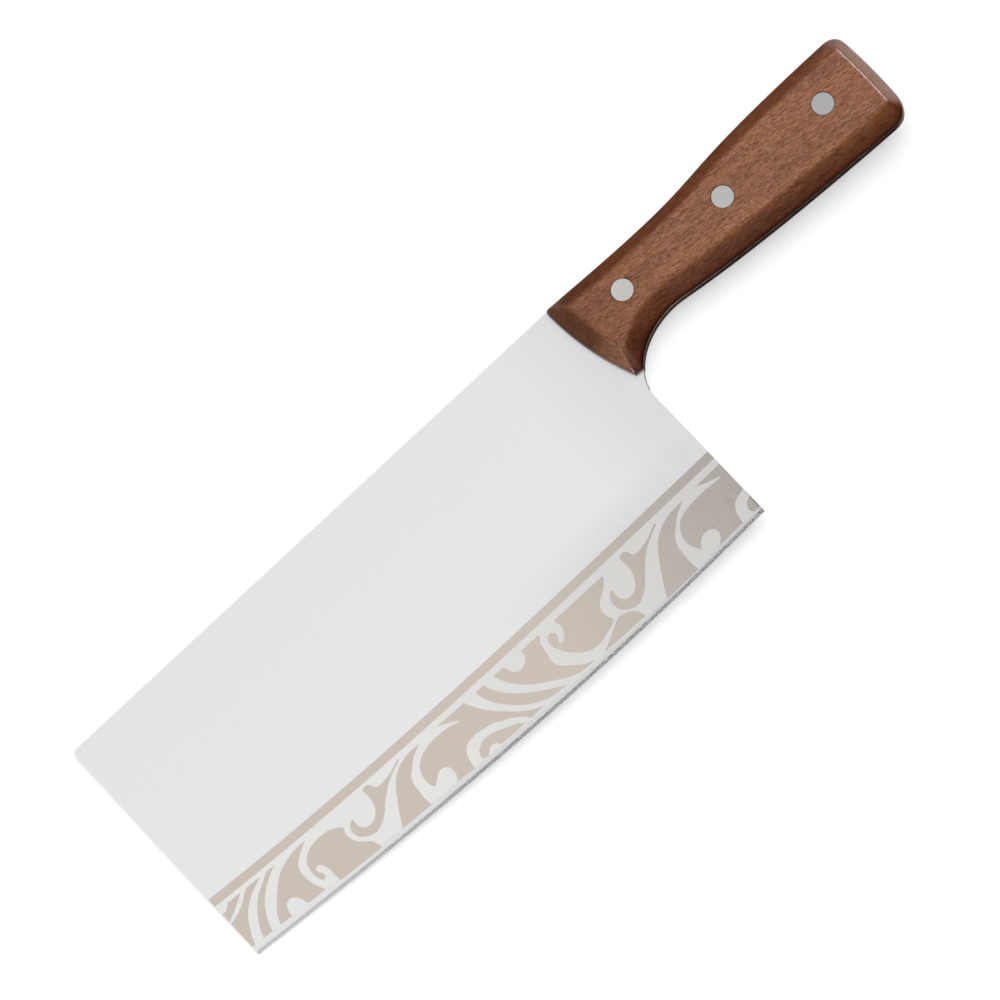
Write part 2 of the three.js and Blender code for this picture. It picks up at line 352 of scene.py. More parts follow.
def band(first, second, size, faces):
    """Quads between two closed rings of equal size, given where each ring starts."""
    for i in range(size):
        j = (i + 1) % size
        faces.append([first + i, first + j, second + j, second + i])


# Ornament of the ground face: a scroll of curling grass left bright between matt fields.
# A field is a closed line through (cells along the blade, share of the strip's width above the edge).
# SHARP marks a corner, and the line is smooth through the other points.
CELL = 3.147
ORNAMENT_START = 3.25
STRIP_FRONT = 22.8
STRIP_HEEL = 27.05
STRIP_BULGE = (-2.5, 13)
STRIPE_WIDTH = 3.05
FIELD_TOP = 0.80
EDGE_SHARE = 0.105
SHARP = True

HORN = [
    (15.5, .60, SHARP), (15.25, .60), (14.9, .558), (14.63, .497), (14.63, .436), (14.8, .375),
    (15.25, .322), (15.9, .281), (16.5, .274), (17.1, .30), (17.75, .345), (18.4, .413), (19.0, .497),
    (19.6, .565), (20.25, .634), (21.0, .695), (21.9, .748), (22.9, .80, SHARP), (22.85, .82),
    (22.25, .794), (21.5, .756), (20.75, .73), (20.0, .718), (19.5, .718), (19.23, .748), (19.1, .786),
    (18.94, .817), (18.56, .832), (18.23, .82), (18.1, .794), (18.15, .725), (18.13, .65),
    (17.98, .558), (17.6, .482), (17.2, .428), (16.5, .401), (16.1, .406), (15.7, .436), (15.48, .482),
    (15.44, .543),
]
LEAF = [
    (18.56, .09, SHARP), (19.06, .208), (19.6, .33), (20.1, .428), (20.6, .527), (21.25, .626),
    (21.9, .695), (22.75, .748), (23.75, .782), (25.44, .794, SHARP), (24.75, .748), (24.0, .695),
    (23.4, .626), (22.8, .558), (22.44, .482), (22.3, .406), (22.25, .30), (22.2, .208),
    (22.3, .094, SHARP),
]
ARCH = [
    (27.8, .80, SHARP), (31.44, FIELD_TOP, SHARP), (31.56, .763), (31.9, .68), (32.4, .588),
    (33.0, .497), (33.75, .406), (34.4, .33), (35.0, .27), (35.75, .208), (36.5, .162),
    (37.2, .129, SHARP), (35.5, .124, SHARP), (35.3, .139), (34.9, .193), (34.25, .253), (33.6, .30),
    (33.0, .325), (32.25, .375), (31.25, .398), (30.4, .413), (29.6, .406), (29.0, .39), (28.56, .352),
    (28.2, .284), (28.03, .208), (27.88, .10, SHARP), (25.7, .109, SHARP), (26.0, .162), (26.15, .223),
    (26.1, .30), (25.9, .337), (25.4, .363), (24.9, .352), (24.5, .314), (24.1, .27),
    (23.8, .243, SHARP), (23.56, .276), (23.44, .345), (23.46, .42), (23.7, .512), (24.1, .588),
    (24.75, .642), (25.5, .68), (26.25, .702), (27.25, .71), (28.25, .705), (29.0, .692), (29.7, .667),
    (29.85, .683, SHARP), (29.25, .725), (28.6, .763),
]
BUD = [
    (29.1, .12, SHARP), (29.13, .177), (29.4, .231), (29.9, .276), (30.4, .30), (31.0, .30),
    (31.75, .284), (32.5, .253), (33.25, .215), (34.0, .177), (34.6, .132, SHARP), (34.5, .12, SHARP),
    (31.5, .117, SHARP), (31.3, .139), (31.06, .17), (30.7, .182), (30.3, .17), (30.06, .139),
    (29.7, .11, SHARP),
]
FRONT_FIELDS = [
    [
        (-1.4, .71, SHARP), (0, .72), (.3, .75), (.6, .79), (.8, FIELD_TOP, SHARP),
        (2.3, FIELD_TOP, SHARP), (1.8, .75), (1.0, .68), (0, .60), (-1.4, .51, SHARP),
    ],
    [
        (-1.4, .49, SHARP), (0, .555), (1.0, .61), (1.8, .67), (2.4, .74), (3.0, FIELD_TOP, SHARP),
        (4.8, FIELD_TOP, SHARP), (4.0, .748), (3.1, .687), (2.4, .62), (1.7, .535), (1.06, .42),
        (.63, .314), (.25, .208), (0, .10, SHARP), (-1.4, .10, SHARP),
    ],
    [
        (1.06, .10, SHARP), (1.3, .208), (1.7, .314), (2.2, .42), (2.8, .527), (3.56, .62), (4.4, .695),
        (5.1, .756), (5.6, FIELD_TOP, SHARP), (6.7, FIELD_TOP, SHARP), (6.0, .756), (5.25, .695),
        (4.5, .62), (3.9, .543), (3.3, .45), (2.9, .36), (2.56, .27), (2.3, .177), (2.13, .10, SHARP),
    ],
    [
        (3.2, .10, SHARP), (3.44, .193), (3.8, .276), (4.3, .368), (4.94, .467), (5.5, .543),
        (6.1, .62), (7.0, .698), (8.0, .748), (9.0, .786), (10.5, .795, SHARP), (9.75, .733),
        (9.1, .68), (8.6, .62), (8.25, .543), (8.13, .45), (8.16, .36), (8.3, .27), (8.56, .185),
        (8.8, .10, SHARP), (6.65, .10, SHARP), (6.5, .177), (6.25, .246), (5.9, .292), (5.56, .30),
        (5.1, .284), (4.8, .23), (4.63, .162), (4.65, .10, SHARP),
    ],
    [
        (10.56, .07, SHARP), (10.5, .208), (10.44, .30), (10.3, .36), (10.1, .406), (9.8, .421),
        (9.5, .406), (9.4, .375), (9.56, .33), (9.75, .29), (9.7, .246), (9.5, .22), (9.25, .223),
        (9.06, .27), (8.96, .345), (8.96, .42), (9.06, .497), (9.38, .573), (9.88, .634), (10.6, .68),
        (11.5, .702), (12.25, .705), (13.0, .695), (13.6, .664), (14.1, .62), (14.28, .588, SHARP),
        (14.06, .543), (14.0, .482), (14.1, .406), (14.4, .337), (14.9, .276), (15.4, .223),
        (15.7, .147), (15.88, .07, SHARP),
    ],
]
MIDDLE_FIELDS = [
    [
        (33.0, FIELD_TOP, SHARP), (34.06, FIELD_TOP, SHARP), (34.3, .71), (34.7, .634), (35.1, .565),
        (35.6, .497), (36.25, .428), (37.0, .36), (37.9, .292), (38.75, .231), (39.5, .185),
        (40.2, .139, SHARP), (38.5, .15), (37.6, .177), (36.75, .223), (35.9, .284), (35.1, .36),
        (34.5, .436), (34.0, .50), (33.6, .573), (33.3, .65), (33.1, .71),
    ],
    [
        (35.38, FIELD_TOP, SHARP), (36.75, FIELD_TOP, SHARP), (36.88, .74), (37.06, .687), (37.4, .649),
        (37.8, .634), (38.3, .646), (38.75, .68), (39.06, .733), (39.15, FIELD_TOP, SHARP),
        (41.5, FIELD_TOP, SHARP), (41.4, .771), (41.0, .702), (40.9, .634), (40.8, .558),
        (40.65, .489, SHARP), (40.73, .428), (41.1, .352), (41.75, .284), (42.4, .223), (43.0, .177),
        (44.0, .14, SHARP), (42.5, .139), (41.6, .162), (40.75, .20), (40.0, .246), (39.25, .30),
        (38.5, .352), (37.75, .413), (37.0, .489), (36.5, .558), (36.06, .62), (35.7, .702),
    ],
    [
        (43.63, FIELD_TOP, SHARP), (50.2, .795, SHARP), (49.9, .748), (49.4, .687), (48.75, .642),
        (48.2, .596), (47.8, .543), (47.7, .482), (47.75, .42), (47.94, .375), (47.94, .33, SHARP),
        (47.4, .30), (46.5, .27), (45.5, .243), (44.6, .246), (44.0, .27), (43.4, .314), (42.75, .383),
        (42.25, .45), (41.9, .527), (41.7, .588), (41.7, .65), (41.9, .695), (42.25, .722),
        (42.6, .713), (42.84, .68), (42.75, .626), (42.5, .588), (42.44, .565, SHARP),
        (42.75, .54, SHARP), (43.0, .558), (43.4, .611), (43.6, .657), (43.73, .702), (43.6, .756),
    ],
    [
        (45.1, .13, SHARP), (45.75, .162), (46.5, .208), (47.4, .261), (48.0, .30), (48.6, .319),
        (49.1, .307), (49.75, .276), (50.25, .223), (50.5, .162), (50.56, .12, SHARP),
    ],
]
HEEL_FIELDS = [
    [
        (59.06, .231, SHARP), (58.69, .314), (58.48, .39), (58.56, .482), (58.94, .573), (59.6, .642),
        (60.6, .68), (62.0, .695), (63.4, .695), (64.9, .677), (65.5, .68, SHARP), (65.2, .697),
        (64.25, .733), (62.88, FIELD_TOP, SHARP), (68.5, FIELD_TOP, SHARP), (68.5, .40, SHARP),
        (66.2, .39), (65.5, .375), (64.75, .345), (64.19, .269), (64.0, .193), (63.94, .115, SHARP),
        (60.7, .115, SHARP), (61.2, .165), (61.5, .22), (61.5, .275), (61.2, .315), (60.75, .337),
        (60.1, .333), (59.6, .299), (59.25, .25),
    ],
    [
        (65.5, .11, SHARP), (65.25, .15), (65.38, .223), (65.75, .261), (66.2, .276),
        (68.5, .30, SHARP), (68.5, .105, SHARP),
    ],
]


def shifted(field, shift, stretch):
    """A field drawn again further along the blade."""
    return [(point[0] * stretch + shift, *point[1:]) for point in field]


FIELDS = [
    *FRONT_FIELDS, HORN, LEAF, ARCH, BUD, *MIDDLE_FIELDS,
    shifted(HORN, 33.9, 1.03), shifted(LEAF, 31.9, 1.15), *HEEL_FIELDS,
]


def strip_point(x, share):
    width = along_blade(x, STRIP_FRONT, STRIP_HEEL, STRIP_BULGE)
    return Vector((x, -grind_depth(x) - (1 - share) * width))


def smooth_run(points):
    """A smooth line through points: each stretch is a cubic along the tangents at its ends."""
    knots = [0]
    for a, b in zip(points, points[1:]):
        knots.append(knots[-1] + (b - a).length)
    slopes = []
    for i, point in enumerate(points):
        before, after = max(i - 1, 0), min(i + 1, len(points) - 1)
        slopes.append((points[after] - points[before]) / (knots[after] - knots[before]))
    line = []
    for i, (a, b) in enumerate(zip(points, points[1:])):
        third = (knots[i + 1] - knots[i]) / 3
        steps = max(1, round(3 * third / ORNAMENT_STEP))
        line += bezier([a, a + slopes[i] * third, b - slopes[i + 1] * third, b], steps)[:-1]
    return line


def field_loop(field):
    """Outline of one field, cut into smooth runs at its sharp corners."""
    corners = [i for i, point in enumerate(field) if len(point) > 2]
    places = [strip_point(ORNAMENT_START + CELL * point[0], point[1]) for point in field]
    loop = []
    for first, last in zip(corners, corners[1:] + [corners[0] + len(field)]):
        loop += smooth_run([places[i % len(field)] for i in range(first, last + 1)])
    return loop


def strip_between(upper, lower):
    """A loop along the whole blade between two functions of x. It overruns both ends."""
    first, last = FRONT_RAKE - OVERRUN, BLADE_LENGTH + OVERRUN
    stations = [mix(first, last, i / EDGE_STEPS) for i in range(EDGE_STEPS + 1)]
    below = [Vector((x, lower(x))) for x in stations]
    above = [Vector((x, upper(x))) for x in reversed(stations)]
    return below + above


# Blade

def blade_outline():
    """Loop round the steel, clockwise from the front end, and the number of points before the edge."""
    sides = handle_outline(0)
    (spine, spine_corner), (butt, butt_corner) = sides[0], sides[1]
    corner_end = sides[2][0][0]
    belly = [point for point in belly_line() if point.x < corner_end.x]
    edge = []
    for i in range(EDGE_STEPS + 1):
        x = mix(BLADE_LENGTH, FRONT_RAKE, i / EDGE_STEPS)
        edge.append(Vector((x, -edge_depth(x))))
    down = edge[-1].normalized()
    corner = bezier([down * CORNER_RADIUS, (0, 0), (CORNER_RADIUS, 0)], CORNER_STEPS)
    before = [*corner, *spine, *spine_corner, *butt, *butt_corner, corner_end, *belly]
    return before + edge, len(before)


def steel_half(x, y):
    """Half the thickness of the steel at a place on its face."""
    edge, grind = edge_depth(x), grind_depth(x)
    bevel = edge - BEVEL_WIDTH
    if x > BLADE_LENGTH or -y <= grind:
        return HALF_STEEL
    if -y <= bevel:
        return mix(HALF_STEEL, BEVEL_HALF, (-y - grind) / (bevel - grind))
    return mix(BEVEL_HALF, EDGE_HALF, min((-y - bevel) / BEVEL_WIDTH, 1))


def corner_move(before, here, after, width_before, width_after):
    """How far a corner moves when its two sides move to the left by two widths."""
    first = (here - before).normalized()
    second = (after - here).normalized()
    turn = cross(first, second)
    if abs(turn) < STRAIGHT:
        return Vector((-first.y, first.x)) * max(width_before, width_after)
    return (second * width_before - first * width_after) / -turn


def rim_width(point):
    """Width of the broken corner at a place on the outline: wider in the choil, tapered behind it."""
    under = point.x >= BLADE_LENGTH and -CHOIL_DEPTH < point.y < -THROAT_DEPTH / 2
    behind = (point.x - THROAT_X) / THROAT_SETBACK
    return mix(CHOIL_CHAMFER, CHAMFER, min(max(behind, 0), 1)) if under else CHAMFER


def inner_outline():
    """The outline of the face of the steel, inside the broken corners. The edge stays where it is."""
    outline, edge_start = blade_outline()
    count = len(outline)
    widths = [0 if edge_start <= i < count - 1 else rim_width(point) for i, point in enumerate(outline)]
    inner = []
    for i, here in enumerate(outline):
        move = corner_move(outline[i - 1], here, outline[(i + 1) % count], widths[i - 1], widths[i])
        inner.append(here - move)
    return inner


# Regions of the blade, the finish of each as a place in BLADE_LOOKS, and the face it is part of
FLAT, GROUND, ETCHED, EDGE_STRIP, BEVEL, CORNER, WALL, TANG_WALL = range(8)
SURFACE = {FLAT: 0, GROUND: 1, ETCHED: 2, EDGE_STRIP: 3, BEVEL: 4, CORNER: 6, WALL: 0, TANG_WALL: 5}
SHAPE = {
    FLAT: FLAT, GROUND: GROUND, ETCHED: GROUND, EDGE_STRIP: GROUND, BEVEL: BEVEL,
    CORNER: CORNER, WALL: WALL, TANG_WALL: WALL,
}
TANG_START = BLADE_LENGTH + 0.05 * THROAT_SETBACK  # behind this the rim of the steel gets a painted dark reflection


def blade_face():
    """The face of the steel as points, triangles and the region of each triangle."""
    loops = [(None, inner_outline())]
    for x in RIVET_X:
        loops.append(("hole", circle(x, -RIVET_DEPTH, TUBE_RADIUS + RIVET_CLEARANCE)))

    def grind_line(x):
        return -grind_depth(x)

    def stripe_line(x):
        return -grind_depth(x) - STRIPE_WIDTH

    def strip_line(x):
        return strip_point(x, EDGE_SHARE).y

    def bevel_line(x):
        return -edge_depth(x) + BEVEL_WIDTH

    def below_edge(x):
        return -edge_depth(x) - OVERRUN

    loops.append((GROUND, strip_between(grind_line, bevel_line)))
    loops.append((ETCHED, strip_between(grind_line, stripe_line)))
    loops.append((EDGE_STRIP, strip_between(strip_line, bevel_line)))
    loops.append((BEVEL, strip_between(bevel_line, below_edge)))
    for field in FIELDS:
        loops.append((ETCHED, field_loop(field)))

    points, faces = counter_clockwise([loop for _, loop in loops])
    places, _, triangles, _, _, owners = delaunay_2d_cdt(points, [], faces, 1, 1e-5)
    kept, regions = [], []
    for triangle, owner in zip(triangles, owners):
        names = [loops[i][0] for i in owner]
        if 0 not in owner or "hole" in names:
            continue
        centre_x = sum(places[corner].x for corner in triangle) / 3
        marks = [name for name in names if name is not None]
        on_blade = centre_x < BLADE_LENGTH and marks
        kept.append(list(triangle))
        regions.append(max(marks, key=(GROUND, EDGE_STRIP, ETCHED, BEVEL).index) if on_blade else FLAT)
    return places, kept, regions


def build_blade(materials):
    places, triangles, regions = blade_face()
    used = sorted({corner for triangle in triangles for corner in triangle})
    order = {corner: i for i, corner in enumerate(used)}
    flat = [places[corner] for corner in used]
    front = [[order[corner] for corner in triangle] for triangle in triangles]
    count = len(flat)
    points = [(p.x, p.y, steel_half(p.x, p.y)) for p in flat]
    points += [(p.x, p.y, -steel_half(p.x, p.y)) for p in flat]
    faces = [*front, *([corner + count for corner in reversed(triangle)] for triangle in front)]
    zones = regions + regions

    # The rim: sides that belong to one triangle only, each with the steel on its left
    sides = {(a, b) for t in front for a, b in zip(t, t[1:] + t[:1])}
    after = {a: b for a, b in sides if (b, a) not in sides}
    before = {b: a for a, b in after.items()}

    def side_width(a, b):
        on_edge = all(points[i][2] < EDGE_HALF * 1.5 for i in (a, b))
        in_hole = any(math.dist(flat[a], (x, -RIVET_DEPTH)) < HEAD_RADIUS for x in RIVET_X)
        return 0 if on_edge or in_hole else rim_width(flat[a])

    outer = {}
    for i in after:
        widths = side_width(before[i], i), side_width(i, after[i])
        move = corner_move(flat[before[i]], flat[i], flat[after[i]], *(-width for width in widths))
        half = points[i][2]
        drop = min(max(widths), half / 2)
        place = flat[i] + move
        outer[i] = len(points)
        points.append((place.x, place.y, half - drop))
        points.append((place.x, place.y, drop - half))
    for a, b in after.items():
        faces.append([b, a, outer[a], outer[b]])
        faces.append([outer[b], outer[a], outer[a] + 1, outer[b] + 1])
        faces.append([outer[b] + 1, outer[a] + 1, a + count, b + count])
        # Behind TANG_START the rim gets the painted dark reflection
        dark = flat[a].x > TANG_START
        zones += [CORNER, TANG_WALL if dark else WALL, CORNER]
    slots = [SURFACE[zone] for zone in zones]
    shapes = [SHAPE[zone] for zone in zones]
    return mesh_piece("blade_with_tang", points, faces, shapes, materials, slots)


# Scales

def scale_section():
    """Share of the facet width and height above the seat, from the rim at the tang to the flat facet."""
    soft_share = ARRIS_SOFTNESS / (SCALE_THICKNESS - LAND_HEIGHT)
    lower = bezier([
        (0, LAND_HEIGHT - ARRIS_SOFTNESS),
        (0, LAND_HEIGHT),
        (soft_share, LAND_HEIGHT + ARRIS_SOFTNESS),
    ], ARRIS_STEPS)
    upper = bezier([
        (1 - soft_share, SCALE_THICKNESS - ARRIS_SOFTNESS),
        (1, SCALE_THICKNESS),
        (1 + soft_share, SCALE_THICKNESS),
    ], ARRIS_STEPS)
    inside = (1 + 1.5 * soft_share, SCALE_THICKNESS)
    return [(0, 0), *lower, *upper, inside]


def scale_mesh():
    points, faces = [], []
    rings = []
    for share, height in scale_section():
        outline = [point for run, corner in handle_outline(share) for point in run + corner]
        rings.append((len(points), outline))
        points += [(point.x, point.y, SEAT + height) for point in outline]
    size = len(rings[0][1])
    for (first, _), (second, _) in zip(rings, rings[1:]):
        band(second, first, size, faces)

    # Each bore: recess rim, recess floor, shaft rim and shaft end
    shaft = TUBE_RADIUS + RIVET_CLEARANCE
    recess = HEAD_RADIUS + RIVET_CLEARANCE
    floor_height = HEAD_BOTTOM - RIVET_CLEARANCE
    levels = [(recess, HANDLE_HALF), (recess, floor_height), (shaft, floor_height), (shaft, SEAT)]
    bores = []
    for x in RIVET_X:
        starts = []
        for radius, height in levels:
            starts.append(len(points))
            points += [(point.x, point.y, height) for point in circle(x, -RIVET_DEPTH, radius)]
        for first, second in zip(starts, starts[1:]):
            band(second, first, ROUND_STEPS, faces)
        bores.append(starts)
    for ring, level, turn in ((rings[-1], 0, 1), (rings[0], -1, -1)):
        start, outline = ring
        radius = levels[level][0]
        index = [start + i for i in range(size)]
        for starts in bores:
            index += [starts[level] + i for i in range(ROUND_STEPS)]
        holes = [circle(x, -RIVET_DEPTH, radius) for x in RIVET_X]
        faces += [[index[corner] for corner in triangle][::turn] for triangle in cap(outline, holes)]
    return points, faces


def flipped(points, faces):
    return [(x, y, -z) for x, y, z in points], [face[::-1] for face in faces]


# Rivets

def head_profile():
    """From the middle of a head's face to its underside: (radius, height)."""
    rim = bezier([
        (HEAD_RADIUS - HEAD_RIM, HEAD_TOP),
        (HEAD_RADIUS, HEAD_TOP),
        (HEAD_RADIUS, HEAD_TOP - HEAD_RIM),
    ], ARRIS_STEPS)
    inside = (HEAD_RADIUS - 2 * HEAD_RIM, HEAD_TOP)
    return [inside, *rim, (HEAD_RADIUS, HEAD_BOTTOM)]


POST_PROFILE = [*head_profile(), (POST_RADIUS, HEAD_BOTTOM), (POST_RADIUS, SHANK_END)]
BORE_RADIUS = POST_RADIUS + PRESS_CLEARANCE
TUBE_PROFILE = [
    *head_profile(), (TUBE_RADIUS, HEAD_BOTTOM), (TUBE_RADIUS, SHANK_END),
    (BORE_RADIUS, SHANK_END), (BORE_RADIUS, HEAD_BOTTOM),
]


def turned(x, profile):
    """A turned piece on a rivet's axis, closed at both ends of its profile."""
    points, faces = [], []
    for radius, height in profile:
        points += [(point.x, point.y, height) for point in circle(x, -RIVET_DEPTH, radius)]
    for i in range(len(profile) - 1):
        band((i + 1) * ROUND_STEPS, i * ROUND_STEPS, ROUND_STEPS, faces)
    last = (len(profile) - 1) * ROUND_STEPS
    faces.append(list(range(ROUND_STEPS)))
    faces.append(list(range(last, last + ROUND_STEPS))[::-1])
    return points, faces


# Materials

def srgb(code):
    """Linear colour of a hexadecimal one."""
    parts = [int(code[i:i + 2], 16) / 255 for i in (0, 2, 4)]
    return (*(part / 12.92 if part < 0.04045 else ((part + 0.055) / 1.055) ** 2.4 for part in parts), 1)


def grey(level):
    return (level, level, level, 1)


class Finish:
    """A material under construction: a principled surface whose nodes are placed by small calls."""

    def __init__(self, name, metallic, roughness):
        self.material = bpy.data.materials.new(name)
        self.material.use_nodes = True
        self.tree = self.material.node_tree
        self.surface = self.tree.nodes["Principled BSDF"]
        self.surface.inputs["Metallic"].default_value = metallic
        self.surface.inputs["Roughness"].default_value = roughness
        self.place = self.tree.nodes.new("ShaderNodeTexCoord").outputs["Object"]

    def feed(self, socket, value):
        if isinstance(value, bpy.types.NodeSocket):
            self.tree.links.new(value, socket)
        else:
            socket.default_value = value

    def noise(self, scale, detail=2, turn=0, distortion=0):
        """Noise of a given number of features to the metre along X, Y and Z, turned about Z."""
        mapping = self.tree.nodes.new("ShaderNodeMapping")
        mapping.vector_type = "TEXTURE"
        mapping.inputs["Rotation"].default_value = (0, 0, math.radians(turn))
        mapping.inputs["Scale"].default_value = tuple(1 / part for part in scale)
        self.tree.links.new(self.place, mapping.inputs["Vector"])
        texture = self.tree.nodes.new("ShaderNodeTexNoise")
        texture.inputs["Scale"].default_value = 1
        texture.inputs["Detail"].default_value = detail
        texture.inputs["Distortion"].default_value = distortion
        self.tree.links.new(mapping.outputs["Vector"], texture.inputs["Vector"])
        return texture.outputs["Fac"]

    def along(self, axis):
        """Place along one axis, in metres."""
        split = self.tree.nodes.new("ShaderNodeSeparateXYZ")
        self.tree.links.new(self.place, split.inputs["Vector"])
        return split.outputs[axis]

    def facing(self, axis):
        """How far the surface faces along one axis, from -1 to 1."""
        split = self.tree.nodes.new("ShaderNodeSeparateXYZ")
        geometry = self.tree.nodes.new("ShaderNodeNewGeometry")
        self.tree.links.new(geometry.outputs["Normal"], split.inputs["Vector"])
        return split.outputs[axis]

    def away(self, value, middle):
        """Distance of a value from a middle one."""
        difference = self.tree.nodes.new("ShaderNodeMath")
        difference.operation = "SUBTRACT"
        self.tree.links.new(value, difference.inputs[0])
        difference.inputs[1].default_value = middle
        size = self.tree.nodes.new("ShaderNodeMath")
        size.operation = "ABSOLUTE"
        self.tree.links.new(difference.outputs["Value"], size.inputs[0])
        return size.outputs["Value"]

    def ranged(self, value, low, high, out_low=0, out_high=1):
        """A value read from one range into another, held at both ends."""
        node = self.tree.nodes.new("ShaderNodeMapRange")
        names = ("From Min", "From Max", "To Min", "To Max")
        for name, number in zip(names, (low, high, out_low, out_high)):
            node.inputs[name].default_value = number
        self.tree.links.new(value, node.inputs["Value"])
        return node.outputs["Result"]

    def times(self, first, second):
        node = self.tree.nodes.new("ShaderNodeMath")
        node.operation = "MULTIPLY"
        self.feed(node.inputs[0], first)
        self.feed(node.inputs[1], second)
        return node.outputs["Value"]

    def blended(self, share, first, second):
        node = self.tree.nodes.new("ShaderNodeMix")
        node.data_type = "RGBA"
        self.feed(node.inputs["Factor"], share)
        self.feed(node.inputs["A"], first)
        self.feed(node.inputs["B"], second)
        return node.outputs["Result"]

    def tinted(self, share, colour, tint):
        """A colour multiplied by a tint, by a share from 0 to 1."""
        node = self.tree.nodes.new("ShaderNodeMix")
        node.data_type = "RGBA"
        node.blend_type = "MULTIPLY"
        self.feed(node.inputs["Factor"], share)
        self.feed(node.inputs["A"], colour)
        self.feed(node.inputs["B"], (*tint, 1))
        return node.outputs["Result"]

    def colour(self, value):
        self.feed(self.surface.inputs["Base Color"], value)

    def relief(self, height, depth):
        """Fine relief, with its depth in metres."""
        node = self.tree.nodes.new("ShaderNodeBump")
        node.inputs["Strength"].default_value = 1
        node.inputs["Distance"].default_value = depth
        self.tree.links.new(height, node.inputs["Height"])
        self.tree.links.new(node.outputs["Normal"], self.surface.inputs["Normal"])


# Fineness of the patterns: features to the metre along X, Y and Z
GRIND_LINES = (2600, 90, 90)
BEVEL_SPECKS = (2900, 2900, 2900)
STREAKS = (16, 300, 300)
FIBRES = (280, 2600, 2600)
PORES = (750, 3600, 3600)
PORE_DEPTH = 0.00002
GRAIN_TURN = -7  # grain of the wood against the length of the handle, in degrees

# Painted shade and sheen on the wood, as tints
FACET_PAINTED_SHADE = (0.86, 0.75, 0.58)  # painted shade: the facets darker than the flat
RIM_PAINTED_SHADE = (0.5, 0.33, 0.2)  # painted shade, darkest along the belly, next to the tang
# painted shade on the spine facet
SPINE_PAINTED_SHADE = (0.86, 0.76, 0.7)
CORNER_PAINTED_SHADE = (0.7, 0.6, 0.52)  # painted shade in the corner of belly and butt
FRONT_PAINTED_SHADE = (0.68, 0.61, 0.52)  # painted shade: the front of the handle is darker too
TOE_PAINTED_SHEEN = (2.6, 3.7, 5.6)  # painted sheen: the end of its facet at the toe is paler

# Places in the frame where a finish or a painted shade changes, and how far it takes to change
STEEL_Z = placed(0, 0, 0).z
SPINE_Y = placed(0, 0, 0).y
TOE_Y = placed(0, -THROAT_DEPTH - TOE_CUT, 0).y
BELLY_Y = placed(0, -BUTT_DEPTH, 0).y
GRIND_Y = placed(0, -grind_depth(BLADE_LENGTH / 2), 0).y
FRONT_X = placed(0, 0, 0).x
HEEL_X = placed(BLADE_LENGTH, 0, 0).x
HANDLE_X = placed(HANDLE_START, 0, 0).x
MIDDLE_X = (FRONT_X + HEEL_X) / 2
BUTT_X = placed(BUTT_END, 0, 0).x
HANDLE_SHADE = 0.025
HEEL_SHADE = (0.09, 0.04)
GRIND_SHADE = 0.012
SCROLL_SHADE = 0.03
PAINTED_BEVEL_REFLECTION = (0.02, 0.1)
FRONT_SHADE = 0.04
TOE_SHADE = (0.003, 0.011)
RIVET_SHADE = 0.02


def lined(finish, colour, line_colour, contrast):
    """A colour with fine grinding lines, which run from spine to edge."""
    lines = finish.ranged(finish.noise(GRIND_LINES, 3), 0.5 - 0.5 / contrast, 0.5 + 0.5 / contrast)
    return finish.blended(lines, colour, line_colour)


def flat_steel():
    """Satin steel: painted light towards the ground face, painted shade at the handle and above the
    heel.
    """
    finish = Finish("satin_steel", 1, 0.34)
    # Painted light: the steel is lighter towards the ground face
    low = finish.ranged(finish.along("Y"), SPINE_Y, GRIND_Y)
    body = finish.blended(low, srgb("E2E2E2"), srgb("E6E6E6"))
    # Painted shade next to the handle
    near = finish.ranged(finish.along("X"), HANDLE_X - HANDLE_SHADE, HANDLE_X, 0, 0.75)
    body = finish.blended(near, body, srgb("CDCDCD"))
    # Painted shade just above the grind line, near the heel
    heel = finish.ranged(finish.along("X"), *(HEEL_X - part for part in HEEL_SHADE))
    above = finish.ranged(finish.along("Y"), GRIND_Y, GRIND_Y + GRIND_SHADE, 1, 0)
    body = finish.blended(finish.times(heel, above), body, srgb("CBCBCB"))
    finish.colour(lined(finish, body, srgb("E2E2E2"), 1))
    return finish.material


def ground_steel():
    """The bright scroll of the ground face, duller towards the heel."""
    finish = Finish("ground_steel", 1, 0.34)
    heel = finish.ranged(finish.along("X"), MIDDLE_X - SCROLL_SHADE, HEEL_X)
    finish.colour(finish.blended(heel, srgb("E2E2E0"), srgb("CDCBC9")))
    return finish.material


def edge_strip():
    """Steel between the ornament and the bevel, darker towards the heel."""
    finish = Finish("edge_strip_steel", 1, 0.36)
    heel = finish.ranged(finish.along("X"), FRONT_X + SCROLL_SHADE, HEEL_X)
    finish.colour(finish.blended(heel, srgb("E0E0DF"), srgb("C3C4C3")))
    return finish.material


def etched_steel():
    """Matt etched fields: warm grey, cooler and more lined towards the heel."""
    finish = Finish("etched_steel", 0.6, 0.6)
    heel = finish.ranged(finish.along("X"), MIDDLE_X + SCROLL_SHADE, HEEL_X)
    ground = finish.blended(heel, srgb("C3B9AF"), srgb("ABA59F"))
    lines = finish.ranged(finish.noise(GRIND_LINES, 3), 0.4, 0.75, 0, 0.6)
    finish.colour(finish.blended(finish.times(lines, heel), ground, srgb("96908A")))
    return finish.material


